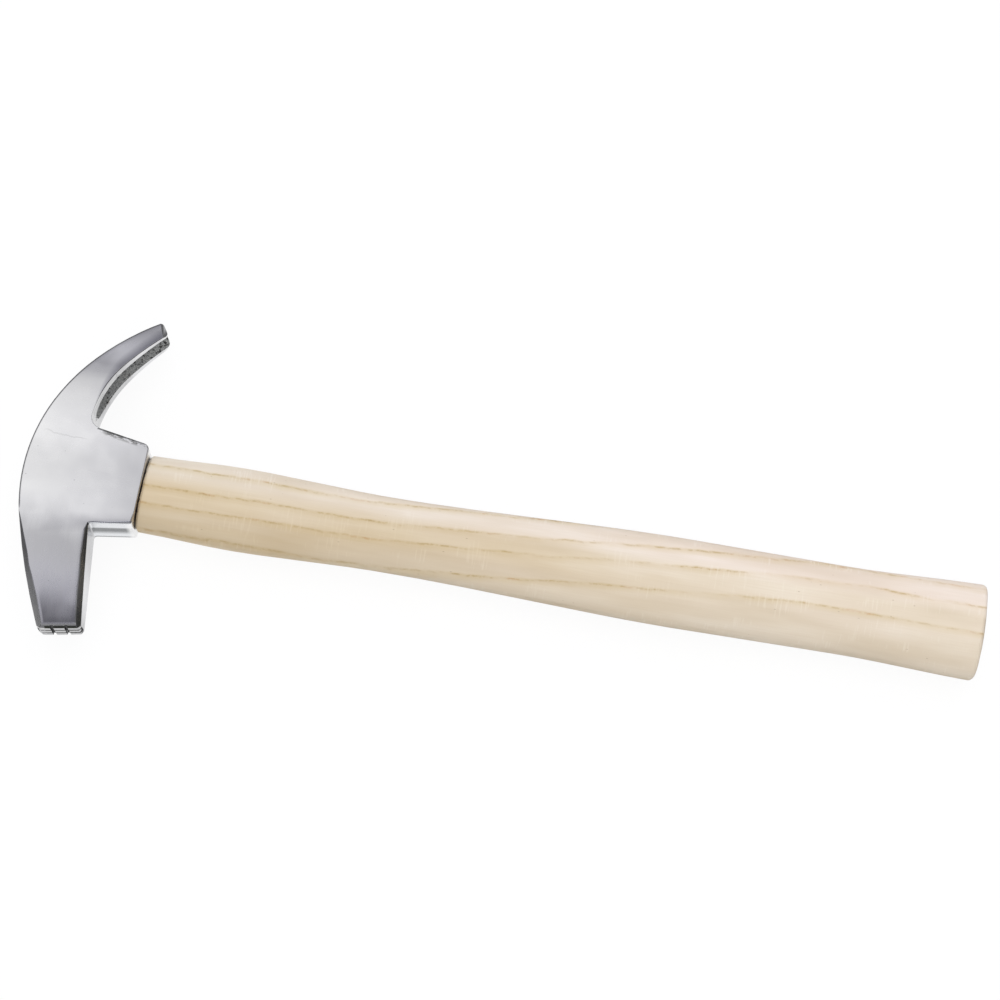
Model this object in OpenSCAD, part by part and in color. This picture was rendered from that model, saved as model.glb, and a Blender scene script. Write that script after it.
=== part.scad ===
// Driving hammer: one forged steel head with a split nail claw, hung on an ash handle
// that is held in the eye by a wooden wedge and two steel wedges.
// The hammer lies on its cheek. X runs from the crown to the butt, Y from the striking
// face to the claw, and Z = 0 is the surface it lies on, below the centre of the eye.

/* [Head] */
// Thickness across the two flat cheeks
cheek_t = 25.4; // [23:0.2:29]
// Depth of the head along the eye, from the crown to the rear face of the boss
head_depth = 40.5; // [37:0.5:46]
// Radius of the crown over the eye
crown_r = 60.3; // [54:0.5:68]
// How far the foremost point of the crown lies below the eye's axis
crown_drop = 1.3; // [0:0.1:3]

/* [Eye boss] */
// Height of the boss's rear face
boss_h = 28.1; // [26:0.1:32]
// How far the middle of the rear face lies above the eye's axis
boss_lift = 0.9; // [0:0.1:1.5]
// Angle by which the boss's upper side rises towards the crown
boss_top_flare = 9.5; // [3:0.5:12]
// Angle by which the boss's lower side drops towards the crown
boss_flare = 8; // [3:0.5:11]
// Lean of the rear face, square to the eye at zero
boss_lean = 2.5; // [0:0.25:4]
// Rounding of the boss's upper rear corner
boss_corner_r = 2.5; // [0.8:0.1:3]
// Rounding of the boss's lower rear corner
boss_heel_r = 1; // [0.6:0.1:2]
// Chamfer along the boss's lower edges
boss_chamfer = 1.1; // [0.6:0.1:1.6]
// Edge break along the boss's upper and rear edges
boss_edge = 0.6; // [0.3:0.1:0.9]

/* [Poll and face] */
// Distance of the middle of the striking face below the eye's axis
poll_reach = 51.5; // [44:0.5:60]
// Width of the striking face, along the handle
face_w = 14.8; // [12:0.2:17]
// Width of the striking face, across the cheeks
face_t = 15.2; // [13:0.2:18]
// How far the middle of the striking face lies behind the middle of the eye
face_set = 1.4; // [0:0.1:3]
// Lean of the striking face towards the handle
face_lean = 10; // [6:0.5:13]
// Angle on the crown at which it runs over into the front of the poll
poll_start = 193; // [190:0.5:197]
// Place of the poll's rear side at the boss, behind the middle of the eye
poll_root = 5.2; // [3:0.1:7]
// Rounding of the inner corner between the poll and the boss
poll_root_r = 1; // [0.6:0.1:2.5]
// Height below the eye's axis at which the cheeks start to taper to the face
poll_taper_start = 12; // [9:0.5:16]
// Height below the eye's axis at which the poll's front chamfers run out
poll_chamfer_start = 14; // [11:0.5:18]
// Width of the poll's four corner chamfers, from the middle of the poll to its face
poll_chamfer = 1.8; // [1.2:0.1:2.6]
// Width of the poll's rear chamfers where they meet the boss
poll_root_chamfer = 1.3; // [0.7:0.1:1.9]
// Bevel round the rim of the striking face
face_bevel = 1; // [0.6:0.1:1.5]
// Distance between the grooves of the scored face
groove_pitch = 4.8; // [4:0.1:5.4]
// Width of a groove
groove_w = 1.1; // [0.5:0.05:1.3]
// Depth of a groove
groove_d = 0.9; // [0.4:0.05:1.4]

/* [Claw] */
// Radius of the claw's outer curve
claw_r = 86.5; // [80:0.5:98]
// Angle on the crown at which it runs over into the claw
claw_start = 151; // [147:0.2:155]
// Height of the claw's tip above the eye's axis
claw_rise = 59.2; // [54:0.2:63]
// Thickness of the claw at its tip
claw_tip_t = 5; // [3.6:0.1:5.6]
// Angle between the claw's outer and inner sides at the tip
claw_taper = 11.1; // [9:0.1:13]
// Radius of the inner curve along the tip half
claw_inner_r = 107; // [98:1:122]
// Angle that the tip half of the inner curve turns through
claw_inner_turn = 9.8; // [8:0.2:11.4]
// Radius of the inner curve along the root half
claw_root_r = 41; // [38:0.5:47]
// Fillet between the claw and the boss
claw_fillet_r = 4; // [2.5:0.1:5]
// Height above the eye's axis at which the cheeks start to taper to the claw's tip
claw_taper_start = 31; // [27:0.5:35]
// Radius that eases the flat cheek into the claw's taper
claw_ease_r = 45; // [30:1:60]
// Width across both prongs at the middle of the tip
claw_tip_w = 15.8; // [14:0.2:18.5]
// Rounding of the prongs' ends on the outer side
claw_end_r = 1.1; // [0.6:0.1:1.6]
// Rounding of the prongs' ends on the inner side
claw_end_inner_r = 1.8; // [1:0.1:2.2]
// Corner cut between a cheek and the end of its prong
claw_end_cut = 1.3; // [0.8:0.1:2]

/* [Nail slot] */
// Width of the slot on the claw's inner side at the root
slot_root_w = 13.6; // [10:0.2:14]
// Width of the slot on the claw's inner side at the tip
slot_tip_w = 12.2; // [9.6:0.2:12.6]
// Height above the eye's axis at which the slot starts
slot_start = 22.4; // [21:0.2:26]
// Length over which the slot opens to its full width
slot_open_len = 8; // [6:0.5:13]
// Lean of the slot's walls, which close in towards the outer side
slot_wall_lean = 29.5; // [24:0.5:33]

/* [Eye and wedges] */
// Width of the eye across the cheeks at its waist
eye_w = 15; // [13:0.2:16.4]
// How much longer the eye is than it is wide
eye_stretch = 4.5; // [3:0.1:6]
// Growth of the eye's width at the crown
eye_flare_front = 2.2; // [1:0.1:3]
// Growth of the eye's width at the rear face
eye_flare_rear = 0.8; // [0.4:0.1:1.4]
// Clearance between wood and steel in the eye, all round
eye_fit = 0.1; // [0.05:0.01:0.2]
// How far the wood ends below the crown
tongue_sink = 0.4; // [0.2:0.05:1]
// Depth of the saw kerf in the tongue, from the crown
kerf_depth = 29; // [24:0.5:32]
// Thickness of the wooden wedge at the crown
wood_wedge_t = 4.2; // [3:0.1:5]
// Thickness of the wooden wedge at its thin end
wood_wedge_tip = 0.8; // [0.6:0.1:1.4]
// Length of the wooden wedge
wood_wedge_len = 27; // [20:0.5:28.5]
// Width of a steel wedge, across the cheeks
steel_wedge_w = 11; // [8:0.2:12.4]
// Length of a steel wedge
steel_wedge_len = 17; // [13:0.5:19]
// Thickness of a steel wedge at the crown
steel_wedge_t = 2.4; // [1.8:0.1:3]
// Thickness of a steel wedge at its thin end
steel_wedge_tip = 0.6; // [0.4:0.1:1]
// Distance between the two steel wedges
steel_wedge_gap = 9; // [7:0.2:11]
// Clearance between the wedges and the wood round them
wedge_fit = 0.04; // [0.02:0.01:0.1]

/* [Handle] */
// Length of the handle behind the head's rear face
handle_len = 291; // [240:1:340]
// Gap between the head's rear face and the handle's shoulder
shoulder_gap = 0.8; // [0.4:0.1:1.2]
// Chamfer round the handle's shoulder
shoulder_chamfer = 0.8; // [0.8:0.1:2]
// Height of the handle at the shoulder
shoulder_h = 26.6; // [25:0.1:30]
// Thickness of the handle at the shoulder
shoulder_t = 22.6; // [20.5:0.1:24.6]
// How far the handle's middle lies above the eye's axis at the shoulder
shoulder_lift = 0.3; // [0:0.05:0.5]
// Squareness of the handle's section, an ellipse at 1 and squarer below it
handle_section_power = 0.87; // [0.75:0.01:1]
// Place of the swell behind the head, from the shoulder
swell_x = 32; // [26:1:44]
// Height of the handle at the swell
swell_h = 28.7; // [27:0.1:32]
// Thickness of the handle at the swell
swell_t = 23; // [20:0.1:24.6]
// Place of the waist, from the shoulder
waist_x = 84; // [70:1:96]
// Height of the handle at the waist
waist_h = 25.8; // [23:0.1:29]
// Thickness of the handle at the waist
waist_t = 20.6; // [18:0.1:23]
// Place where the grip reaches its full height, from the shoulder
grip_x = 186; // [150:1:200]
// Height of the grip
grip_h = 31; // [29:0.1:34]
// Thickness of the grip
grip_t = 23.6; // [21:0.1:25]
// Height of the neck in front of the butt
neck_h = 30.3; // [28:0.1:33.6]
// Length of the flare at the butt
flare_len = 48; // [38:1:60]
// Height of the butt
butt_h = 33.2; // [31.6:0.1:37]
// Thickness of the butt
butt_t = 24.8; // [22.5:0.1:25.2]
// Rounding of the butt's edge
butt_r = 1.6; // [1.5:0.1:3.5]
// Height of the crowned end of the butt
butt_crown = 1.2; // [0.4:0.1:1.5]

/* [Hidden] */

steel_colour = [0.74, 0.75, 0.77];
wedge_steel_colour = [0.5, 0.51, 0.53];
ash_colour = [0.9, 0.83, 0.73];
wedge_wood_colour = [0.78, 0.66, 0.5];

// Angle between the points of a drawn curve
curve_step = 3;
// The same for the fillet in the claw's root
fillet_step = 10;
// The same for a rounded corner
corner_step = 18;
// Angle left free on each side of a point where two drawn curves meet
seam = 1;
// Distance that a cutting tool runs past the steel
overshoot = 3;
// Distance that an edge's chamfer runs past an inner corner
corner_run = 0.35;
// Size of the block that cuts along a plane
block = 120;
// Fineness of the round surfaces
$fn = 120;

// Direction at an angle in the side view
function dir(angle) = [cos(angle), sin(angle)];

// Angle of a direction in the side view, from 0 to 360
function angle_of(v) = (atan2(v.y, v.x) + 360) % 360;

// Points along a circle from one angle to another
function arc(centre, r, from, to, step = curve_step) =
    let (steps = max(2, ceil(abs(to - from) / step)))
    [for (i = [0:steps]) centre + r * dir(from + (to - from) * i / steps)];

// Points that round off a corner between two straight edges
function rounded(before, corner, after, r) =
    let (u = (before - corner) / norm(before - corner))
    let (v = (after - corner) / norm(after - corner))
    let (half_angle = acos(u * v) / 2)
    let (centre = corner + (u + v) / norm(u + v) * r / sin(half_angle))
    let (from = angle_of(corner + u * r / tan(half_angle) - centre))
    let (turn = angle_of(corner + v * r / tan(half_angle) - centre) - from)
    let (short_turn = turn > 180 ? turn - 360 : turn < -180 ? turn + 360 : turn)
    arc(centre, r, from, from + short_turn, corner_step);

// Where the line through p along a crosses the line through q along b
function crossing(p, a, q, b) =
    p + a * ((q.x - p.x) * b.y - (q.y - p.y) * b.x) / (a.x * b.y - a.y * b.x);

// Distance from a point inside a circle, along a direction, to the circle
function reach(from, along, centre, r) =
    let (to_centre = centre - from)
    let (offset = to_centre.x * along.y - to_centre.y * along.x)
    to_centre * along + sqrt(r * r - offset * offset);

// Radius of a circle that leaves a straight line and has dropped by drop after run
function drop_radius(run, drop) = (run * run + drop * drop) / (2 * drop);

// Crown and the outer curve of the claw
half_cheek = cheek_t / 2;
front_x = -head_depth / 2;
rear_x = head_depth / 2;
crown_centre = [front_x + crown_r, -crown_drop];
claw_centre = crown_centre - (claw_r - crown_r) * dir(claw_start);
tip_angle = 180 - asin((claw_rise - claw_centre.y) / claw_r);
tip_outer = claw_centre + claw_r * dir(tip_angle);
tip_inner = claw_centre + (claw_r - claw_tip_t) * dir(tip_angle);
tip_out = dir(tip_angle - 90);

// Inner curve of the claw: two arcs that run into each other
inner_from = tip_angle + claw_taper;
inner_to = inner_from + claw_inner_turn;
inner_centre = tip_inner - claw_inner_r * dir(inner_from);
root_centre = inner_centre + (claw_inner_r - claw_root_r) * dir(inner_to);

// Boss
boss_along = dir(90 - boss_lean);
boss_top = [rear_x, boss_lift] + boss_along * boss_h / 2;
boss_heel = [rear_x, boss_lift] - boss_along * boss_h / 2;
top_along = dir(180 - boss_top_flare);
heel_along = dir(180 + boss_flare);

// Fillet in the claw's root, which touches the inner curve and the boss's upper side
fillet_line = boss_top + claw_fillet_r * dir(90 - boss_top_flare);
fillet_run = reach(fillet_line, top_along, root_centre, claw_root_r - claw_fillet_r);
fillet_centre = fillet_line + fillet_run * top_along;
fillet_touch = angle_of(fillet_centre - root_centre);
boss_top_end = fillet_centre - claw_fillet_r * dir(90 - boss_top_flare);

// Striking face and poll
face_along = dir(face_lean);
face_up = dir(face_lean + 90);
face_mid = [face_set, -poll_reach];
face_front = face_mid - face_along * face_w / 2;
face_rear = face_mid + face_along * face_w / 2;
poll_corner = crossing(boss_heel, heel_along, [poll_root, 0], dir(90));
poll_top = crown_centre + crown_r * dir(poll_start);
poll_chord = face_front - poll_top;
poll_r = poll_chord * poll_chord / (-2 * (poll_chord * dir(poll_start)));
poll_centre = poll_top - poll_r * dir(poll_start);
poll_end = angle_of(face_front - poll_centre);
poll_rear_up = (poll_corner - face_rear) / norm(poll_corner - face_rear);
poll_mitre = (boss_flare + angle_of(-poll_rear_up) - 360) / 2;

// Tapers of the cheeks, measured along the poll and along the claw
face_depth = -(face_mid * face_up);
poll_taper_r = drop_radius(face_depth - poll_taper_start, half_cheek - face_t / 2);
tip_mid = (tip_outer + tip_inner) / 2;
claw_tip_run = tip_mid.y;
claw_ease_centre = [claw_taper_start, half_cheek - claw_ease_r];
claw_ease_to_tip = [claw_tip_run, claw_tip_w / 2] - claw_ease_centre;
claw_ease_end = angle_of(claw_ease_to_tip) + acos(claw_ease_r / norm(claw_ease_to_tip));
claw_slope = dir(claw_ease_end - 90);

// Half the head's thickness at a point of the poll
function poll_half(p) =
    let (run = max(0, -(p * face_up) - poll_taper_start))
    half_cheek - poll_taper_r + sqrt(poll_taper_r * poll_taper_r - run * run);

// Front of the head at a height on the crown or on the poll
function front_at(y) = y > poll_top.y
    ? [crown_centre.x - sqrt(crown_r * crown_r - (y - crown_centre.y) ^ 2), y]
    : [poll_centre.x - sqrt(poll_r * poll_r - (y - poll_centre.y) ^ 2), y];

// Outline of the head seen on its cheek
function head_outline() = concat(
    rounded(tip_inner, tip_outer, tip_outer - tip_out, claw_end_r),
    arc(claw_centre, claw_r, tip_angle + curve_step, claw_start),
    arc(crown_centre, crown_r, claw_start + curve_step, poll_start),
    arc(poll_centre, poll_r, poll_start + seam, poll_end - seam),
    [face_front + face_bevel * dir(poll_end - 90), face_front + face_bevel * face_along],
    [face_rear - face_bevel * face_along, face_rear + face_bevel * poll_rear_up],
    rounded(face_rear, poll_corner, boss_heel, poll_root_r),
    rounded(poll_corner, boss_heel, boss_top, boss_heel_r),
    rounded(boss_heel, boss_top, boss_top + top_along, boss_corner_r),
    arc(fillet_centre, claw_fillet_r, 270 - boss_top_flare, fillet_touch, fillet_step),
    arc(root_centre, claw_root_r, fillet_touch - curve_step, inner_to + seam),
    arc(inner_centre, claw_inner_r, inner_to - seam, inner_from + 2 * seam),
    rounded(tip_inner - dir(inner_from - 90), tip_inner, tip_outer, claw_end_inner_r)
);

// An edge drawn above the middle line and its mirror image below, as a closed outline
function both_sides(edge) =
    concat(edge, [for (i = [len(edge) - 1:-1:0]) [edge[i].x, -edge[i].y]]);

// Half the head's thickness against the distance along the poll
function poll_taper_edge() =
    let (last = asin((face_depth + overshoot - poll_taper_start) / poll_taper_r))
    let (start = [-poll_taper_start, half_cheek - poll_taper_r])
    concat(arc(start, poll_taper_r, 90 + last, 90), [[block, half_cheek]]);

// Half the head's thickness against the height of the claw
function claw_taper_edge() = concat(
    [[-block, half_cheek]],
    arc(claw_ease_centre, claw_ease_r, 90, claw_ease_end),
    [[claw_tip_run, claw_tip_w / 2] + 2 * overshoot * claw_slope]
);

// Slab whose half thickness follows an edge drawn along Y, turned in the side view
module slab_along(edge, turn) {
    rotate([0, 0, turn])
        rotate([90, 0, 90])
            linear_extrude(2 * block, center = true)
                polygon(both_sides(edge));
}

// Everything on the outer side of a plane through a point
module beyond_plane(point, out) {
    translate(point)
        rotate([0, acos(out.z / norm(out)), atan2(out.y, out.x)])
            translate([-block / 2, -block / 2, 0])
                cube(block);
}

// Bar that cuts a chamfer along an edge of the upper cheek, with the steel on the left of
// its run. It starts before the edge and ends after it by the given lengths.
module edge_cut(from, to, chamfer, before, after) {
    run = to - from;
    bar = 4 * chamfer;
    translate([from.x, from.y, half_cheek])
        rotate([0, 0, atan2(run.y, run.x)])
            rotate([45, 0, 0])
                translate([-before, -bar / 2, -chamfer / sqrt(2)])
                    cube([before + norm(run) + after, bar, bar]);
}

// Plane that takes the corner off one length of the poll, with a width at either end
module corner_cut(from, from_w, to, to_w, inward) {
    from_inset = from + from_w * inward;
    to_inset = to + to_w * inward;
    a = [from_inset.x, from_inset.y, poll_half(from)];
    b = [to_inset.x, to_inset.y, poll_half(to)];
    c = [to.x, to.y, poll_half(to) - to_w];
    normal = cross(b - a, c - a);
    beyond_plane(a, normal.z > 0 ? normal : -normal);
}

// The poll's side of the mitre in the inner corner, where its rear chamfer meets the boss's
module below_mitre() {
    translate([poll_corner.x, poll_corner.y, 0])
        rotate([0, 0, poll_mitre])
            translate([-block / 2, -block, 0])
                cube(block);
}

// The poll's octagonal section: one chamfer at the front and one at the rear, each of two
// planes that follow the taper
module poll_corner_cuts() {
    front_top = front_at(-poll_chamfer_start);
    front_middle = front_at(-(poll_chamfer_start + poll_reach) / 2);
    rear_middle = (poll_corner + face_rear) / 2;
    corner_cut(front_top, 0, front_middle, poll_chamfer, face_along);
    corner_cut(front_middle, poll_chamfer, face_front, poll_chamfer, face_along);
    intersection() {
        union() {
            corner_cut(poll_corner, poll_root_chamfer, rear_middle, poll_chamfer, -face_along);
            corner_cut(rear_middle, poll_chamfer, face_rear, poll_chamfer, -face_along);
        }
        below_mitre();
    }
}

// Chamfers and edge breaks on one side of the head
module cheek_edges() {
    poll_corner_cuts();
    difference() {
        edge_cut(poll_corner, boss_heel, boss_chamfer, 2 * poll_root_chamfer, overshoot);
        below_mitre();
    }
    edge_cut(boss_heel, boss_top, boss_edge, overshoot, overshoot);
    edge_cut(boss_top, boss_top_end, boss_edge, overshoot, corner_run);
    beyond_plane([face_mid.x, face_mid.y, face_t / 2 - face_bevel], [-face_up.x, -face_up.y, 1]);
    beyond_plane([tip_mid.x, tip_mid.y, claw_tip_w / 2 - claw_end_cut], [tip_out.x, tip_out.y, 1]);
}

// Grooves that score the striking face into nine pads
module face_grooves() {
    translate([face_mid.x, face_mid.y, 0])
        rotate([0, 0, face_lean])
            for (side = [-1, 1]) {
                translate([side * groove_pitch / 2, 0, 0])
                    cube([groove_w, 2 * groove_d, block], center = true);
                translate([0, 0, side * groove_pitch / 2])
                    cube([2 * face_w, 2 * groove_d, groove_w], center = true);
            }
}

// Slot between the prongs. Its walls lean in towards the outer side, so it is a wide
// groove on the inner side and a narrow V on the outer one.
slot_steps = 18;
// Flat left at the bottom of the V
slot_bottom = 0.1;
slot_lean = tan(slot_wall_lean);
slot_apex = [root_centre.x - sqrt(claw_root_r ^ 2 - (slot_start - root_centre.y) ^ 2), slot_start];
slot_from = angle_of(slot_apex - claw_centre);
slot_to = tip_angle - curve_step;
slot_joint = angle_of(inner_centre + claw_inner_r * dir(inner_to) - claw_centre);
slot_open_turn = slot_open_len / norm(slot_apex - claw_centre) * 180 / PI;

// Distance from the claw's centre to its inner side
function claw_inner_reach(angle) = angle > slot_joint
    ? reach(claw_centre, dir(angle), root_centre, claw_root_r)
    : reach(claw_centre, dir(angle), inner_centre, claw_inner_r);

// Four corners of the slot's section at an angle round the claw's centre
function slot_section(angle) =
    let (inner = claw_inner_reach(angle))
    let (along = (slot_from - angle) / (slot_from - tip_angle))
    let (full = (slot_root_w + (slot_tip_w - slot_root_w) * along) / 2)
    let (opened = min(1, (slot_from - angle) / slot_open_turn))
    let (half = full * sqrt(1 - (1 - opened) ^ 2))
    let (outer = min(claw_r + overshoot / 2, inner + (half - slot_bottom) / slot_lean))
    let (narrow = half - (outer - inner) * slot_lean)
    let (wide = half + overshoot * slot_lean)
    let (p = claw_centre + (inner - overshoot) * dir(angle))
    let (q = claw_centre + outer * dir(angle))
    [[p.x, p.y, wide], [q.x, q.y, narrow], [q.x, q.y, -narrow], [p.x, p.y, -wide]];

// Skin round a row of sections with equally many points, listed clockwise along the row
module loft(sections) {
    n = len(sections[0]);
    last = len(sections) - 1;
    sides = [for (i = [0:last - 1]) for (j = [0:n - 1])
        let (a = i * n + j)
        let (b = i * n + (j + 1) % n)
        each [[a, b, b + n], [a, b + n, a + n]]];
    polyhedron(
        points = [for (section = sections) each section],
        faces = concat([[for (j = [n - 1:-1:0]) j]], sides, [[for (j = [0:n - 1]) last * n + j]])
    );
}

module nail_slot() {
    loft([for (i = [0:slot_steps]) slot_section(slot_from + (slot_to - slot_from) * i / slot_steps)]);
}

// One length of the eye: two half-round ends and the flat sides between them
module eye_length(from_x, from_w, to_x, to_w) {
    for (side = [-1, 1])
        translate([from_x, side * eye_stretch / 2, 0])
            rotate([0, 90, 0])
                cylinder(h = to_x - from_x, d1 = from_w, d2 = to_w);
    rotate([90, 0, 0])
        linear_extrude(eye_stretch, center = true)
            polygon([[from_x, -from_w / 2], [to_x, -to_w / 2], [to_x, to_w / 2], [from_x, from_w / 2]]);
}

// The eye, waisted in the middle, or the wood that fills it with a clearance all round
module eye(clearance) {
    waist = eye_w - 2 * clearance;
    front = front_x - overshoot;
    rear = rear_x + overshoot;
    eye_length(front, waist + eye_flare_front * front / front_x, 0, waist);
    eye_length(0, waist, rear, waist + eye_flare_rear * rear / rear_x);
}

// Space behind the crown, for what ends just below it
module below_crown() {
    translate([crown_centre.x, crown_centre.y, 0])
        cylinder(h = block, r = crown_r - tongue_sink, center = true);
}

// Outline of a wedge driven in at the crown, thick at the crown and thin inside
function wedge_outline(thick, thin, length, clearance) =
    let (slope = (thick - thin) / length)
    let (head_half = (thick + slope * overshoot) / 2 + clearance)
    let (tip_half = thin / 2 + clearance)
    [[front_x - overshoot, -head_half], [front_x + length + clearance, -tip_half],
        [front_x + length + clearance, tip_half], [front_x - overshoot, head_half]];

module wood_wedge_plate(clearance) {
    rotate([90, 0, 0])
        linear_extrude(block, center = true)
            polygon(wedge_outline(wood_wedge_t, wood_wedge_tip, wood_wedge_len, clearance));
}

module steel_wedge_blank(side, clearance) {
    translate([0, side * steel_wedge_gap / 2, 0])
        linear_extrude(steel_wedge_w + 2 * clearance, center = true)
            polygon(wedge_outline(steel_wedge_t, steel_wedge_tip, steel_wedge_len, clearance));
}

// Sizes of the handle. Each row is a distance from the shoulder, a height and a thickness.
handle_sizes = [
    [0, shoulder_h, shoulder_t],
    [swell_x, swell_h, swell_t],
    [waist_x, waist_h, waist_t],
    [grip_x, grip_h, grip_t],
    [handle_len - flare_len, neck_h, grip_t],
    [handle_len, butt_h, butt_t]
];
shoulder_x = rear_x + shoulder_gap;
handle_sides = 40;
handle_steps = 36;
butt_step = 15;

// A size of the handle at a distance from the shoulder, eased from row to row
function handle_size(x, column, row = 0) =
    x > handle_sizes[row + 1][0] && row < len(handle_sizes) - 2
        ? handle_size(x, column, row + 1)
        : let (a = handle_sizes[row])
          let (b = handle_sizes[row + 1])
          let (t = (x - a[0]) / (b[0] - a[0]))
          a[column] + (b[column] - a[column]) * (3 - 2 * t) * t * t;

// Power that keeps the sign, for the squared ellipse of the handle's section
function signed_power(v) = sign(v) * abs(v) ^ handle_section_power;

// One section of the handle. Close to the head it leans with the boss's rear face.
function handle_section(x, inset, share = 1) =
    let (half_h = (handle_size(x, 1) / 2 - inset) * share)
    let (half_t = (handle_size(x, 2) / 2 - inset) * share)
    let (near_head = max(0, 1 - x / swell_x))
    [for (j = [0:handle_sides - 1])
        let (turn = -360 * j / handle_sides)
        let (y = half_h * signed_power(cos(turn)) + shoulder_lift * max(0, 1 - x / waist_x))
        let (z = half_t * signed_power(sin(turn)))
        [shoulder_x + x + tan(boss_lean) * near_head * (y - boss_lift), y, z]];

module handle_body() {
    body_end = handle_len - butt_crown - butt_r;
    body = [for (i = [0:handle_steps])
        handle_section(shoulder_chamfer + (body_end - shoulder_chamfer) * i / handle_steps, 0)];
    edge = [for (turn = [butt_step:butt_step:90])
        handle_section(body_end + butt_r * sin(turn), butt_r * (1 - cos(turn)))];
    crown = [for (share = [2 / 3, 1 / 3])
        handle_section(handle_len - butt_crown * share ^ 2, butt_r, share)];
    loft(concat([handle_section(0, shoulder_chamfer)], body, edge, crown));
}

// Lifts a piece so that the hammer lies on its cheek at Z = 0
module on_cheek() {
    translate([0, 0, half_cheek])
        children();
}

module head() {
    color(steel_colour)
        on_cheek()
            difference() {
                intersection() {
                    linear_extrude(cheek_t, center = true)
                        polygon(head_outline());
                    slab_along(poll_taper_edge(), face_lean);
                    slab_along(claw_taper_edge(), 0);
                }
                cheek_edges();
                mirror([0, 0, 1])
                    cheek_edges();
                face_grooves();
                nail_slot();
                eye(0);
            }
}

module handle() {
    color(ash_colour)
        on_cheek()
            union() {
                handle_body();
                difference() {
                    intersection() {
                        eye(eye_fit);
                        below_crown();
                    }
                    wood_wedge_plate(wedge_fit);
                    translate([front_x, -block / 2, -wood_wedge_tip / 2])
                        cube([kerf_depth, block, wood_wedge_tip]);
                    for (side = [-1, 1])
                        steel_wedge_blank(side, wedge_fit);
                }
            }
}

module wooden_wedge() {
    color(wedge_wood_colour)
        on_cheek()
            difference() {
                intersection() {
                    wood_wedge_plate(0);
                    eye(eye_fit);
                    below_crown();
                }
                for (side = [-1, 1])
                    steel_wedge_blank(side, wedge_fit);
            }
}

module steel_wedge(side) {
    color(wedge_steel_colour)
        on_cheek()
            intersection() {
                steel_wedge_blank(side, 0);
                below_crown();
            }
}

module steel_wedge_claw_side() {
    steel_wedge(1);
}

module steel_wedge_poll_side() {
    steel_wedge(-1);
}

head();
handle();
wooden_wedge();
steel_wedge_claw_side();
steel_wedge_poll_side();
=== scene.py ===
import math

import bpy
from mathutils import Matrix, Vector


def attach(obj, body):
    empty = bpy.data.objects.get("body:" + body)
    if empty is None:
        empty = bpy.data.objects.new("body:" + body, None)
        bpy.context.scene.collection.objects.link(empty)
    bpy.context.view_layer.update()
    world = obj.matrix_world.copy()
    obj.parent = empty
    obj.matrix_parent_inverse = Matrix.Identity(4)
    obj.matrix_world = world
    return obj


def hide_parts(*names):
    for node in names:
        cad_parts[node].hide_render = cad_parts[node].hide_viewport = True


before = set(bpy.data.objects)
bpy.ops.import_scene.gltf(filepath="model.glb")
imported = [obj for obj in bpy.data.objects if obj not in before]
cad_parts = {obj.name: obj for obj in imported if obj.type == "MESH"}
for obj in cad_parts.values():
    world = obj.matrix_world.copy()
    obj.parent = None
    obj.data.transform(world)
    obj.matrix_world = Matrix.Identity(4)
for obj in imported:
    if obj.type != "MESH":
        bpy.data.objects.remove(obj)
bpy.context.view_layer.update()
scene = bpy.context.scene

# HEAD
# One steel forging, trimmed and ground on its cheeks, then finished to a satin. The
# ground edges are slightly rolled over, and the slot and the eye keep their forged skin.

MM = 0.001
CHEEK_Z = 0.0254
MIDDLE_Z = CHEEK_Z / 2
FLAT_WITHIN = math.radians(0.6)


def only(piece):
    """Selects one piece and nothing else."""
    bpy.ops.object.select_all(action="DESELECT")
    piece.select_set(True)
    bpy.context.view_layer.objects.active = piece


def merged_copy(solid, name, weld):
    """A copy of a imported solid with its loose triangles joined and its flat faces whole."""
    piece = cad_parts[solid].copy()
    piece.data = piece.data.copy()
    piece.name = name
    piece.parent = None
    scene.collection.objects.link(piece)
    only(piece)
    bpy.ops.object.mode_set(mode="EDIT")
    bpy.ops.mesh.select_all(action="SELECT")
    bpy.ops.mesh.remove_doubles(threshold=weld)
    bpy.ops.mesh.select_all(action="SELECT")
    bpy.ops.mesh.dissolve_limited(angle_limit=FLAT_WITHIN)
    bpy.ops.object.mode_set(mode="OBJECT")
    return piece


forged_head = merged_copy("head", "forged_head", weld=0.12 * MM)
mesh = forged_head.data

# The poll's chamfers meet its cheeks in very short edges, which are joined first
POLL_BOTTOM_Y, POLL_TOP_Y = -48 * MM, -16 * MM
SHORTEST_EDGE = 0.4 * MM
for vertex in mesh.vertices:
    vertex.select = POLL_BOTTOM_Y < vertex.co.y < POLL_TOP_Y
bpy.ops.object.mode_set(mode="EDIT")
bpy.ops.mesh.remove_doubles(threshold=SHORTEST_EDGE)
bpy.ops.object.mode_set(mode="OBJECT")

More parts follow.
